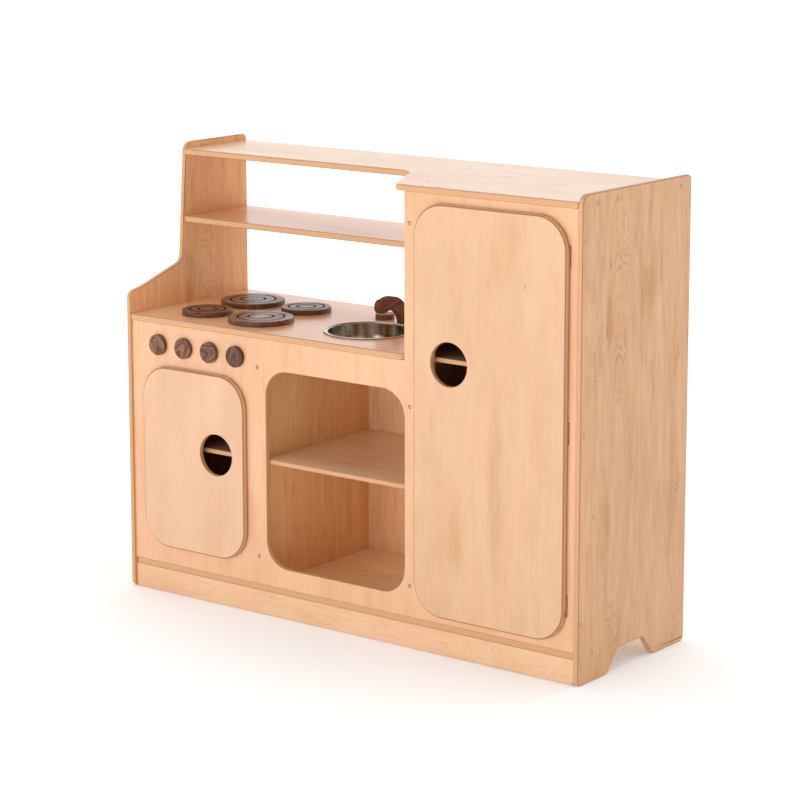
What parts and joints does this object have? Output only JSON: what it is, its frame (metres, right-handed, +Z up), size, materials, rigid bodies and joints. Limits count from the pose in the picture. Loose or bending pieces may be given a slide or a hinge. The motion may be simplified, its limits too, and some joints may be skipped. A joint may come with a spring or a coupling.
{
  "type": "play kitchen",
  "caption": "Free-standing plywood play kitchen with an open niche, two hinged overlay doors, turning knobs, hob plates, a steel wash bowl, a wooden spout and open shelves.",
  "frame": {"origin": "centre of the box's base, on the floor", "axes": "+X to the right seen from the front, the front faces -Y, +Z up"},
  "size_m": [1.2, 0.404, 0.981],
  "materials": {
    "plywood": "clear-lacquered birch plywood, satin, darker ply lines on its edges",
    "door_plywood": "clear-lacquered birch plywood with rounded edges",
    "walnut": "oiled walnut, visible grain",
    "bowl_steel": "spun stainless steel, satin inside and a bright rim",
    "screw_steel": "zinc-plated",
    "hinge_bronze": "dark bronzed steel",
    "magnet": "nickel-plated"
  },
  "bodies": {
    "carcass": {"left_side_panel": "plywood", "right_side_panel": "plywood", "front_panel": "plywood", "back_panel": "plywood", "left_divider": "plywood", "tower_divider": "plywood", "bottom_board": "plywood", "plinth_board": "plywood", "worktop": "plywood", "top_board": "plywood", "upper_shelf": "plywood", "cupboard_shelf": "plywood", "niche_shelf": "plywood", "tower_shelf_lower": "plywood", "tower_shelf_upper": "plywood", "panel_screws": "screw_steel", "small_frame_leaves": "hinge_bronze", "small_frame_leaf_screws": "hinge_bronze", "small_hinge_pins": "hinge_bronze", "small_frame_magnet": "magnet", "tall_frame_leaves": "hinge_bronze", "tall_frame_leaf_screws": "hinge_bronze", "tall_hinge_pins": "hinge_bronze", "tall_frame_magnet": "magnet", "burner_front_left": "walnut", "burner_back_left": "walnut", "burner_front_right": "walnut", "burner_back_right": "walnut", "burner_screws": "screw_steel", "sink_bowl": "bowl_steel", "faucet": "walnut", "faucet_screws": "screw_steel"},
    "small_door": {"small_door": "door_plywood", "small_door_leaves": "hinge_bronze", "small_door_leaf_screws": "hinge_bronze", "small_door_strike": "hinge_bronze"},
    "tall_door": {"tall_door": "door_plywood", "tall_door_leaves": "hinge_bronze", "tall_door_leaf_screws": "hinge_bronze", "tall_door_strike": "hinge_bronze"},
    "knob_1": {"knob_1": "walnut", "knob_1_screw": "screw_steel"},
    "knob_2": {"knob_2": "walnut", "knob_2_screw": "screw_steel"},
    "knob_3": {"knob_3": "walnut", "knob_3_screw": "screw_steel"},
    "knob_4": {"knob_4": "walnut", "knob_4_screw": "screw_steel"},
    "tap": {"tap_disc": "walnut", "tap_screw": "screw_steel"}
  },
  "joints": [
    {"name": "small_door_hinge", "type": "hinge", "parent": "carcass", "child": "small_door", "pos_m": [-0.5492, -0.19025, 0.311], "axis": [0, 0, -1], "range_deg": [0, 95]},
    {"name": "tall_door_hinge", "type": "hinge", "parent": "carcass", "child": "tall_door", "pos_m": [0.5682, -0.19025, 0.509], "axis": [0, 0, 1], "range_deg": [0, 95]},
    {"name": "knob_1_turn", "type": "hinge", "parent": "carcass", "child": "knob_1", "pos_m": [-0.5085, -0.194, 0.5595], "axis": [0, 1, 0], "continuous": true},
    {"name": "knob_2_turn", "type": "hinge", "parent": "carcass", "child": "knob_2", "pos_m": [-0.4345, -0.194, 0.5595], "axis": [0, 1, 0], "continuous": true},
    {"name": "knob_3_turn", "type": "hinge", "parent": "carcass", "child": "knob_3", "pos_m": [-0.3605, -0.194, 0.5595], "axis": [0, 1, 0], "continuous": true},
    {"name": "knob_4_turn", "type": "hinge", "parent": "carcass", "child": "knob_4", "pos_m": [-0.2865, -0.194, 0.5595], "axis": [0, 1, 0], "continuous": true},
    {"name": "tap_turn", "type": "hinge", "parent": "carcass", "child": "tap", "pos_m": [-0.105, 0.096, 0.62], "axis": [0, 0, 1], "continuous": true}
  ]
}
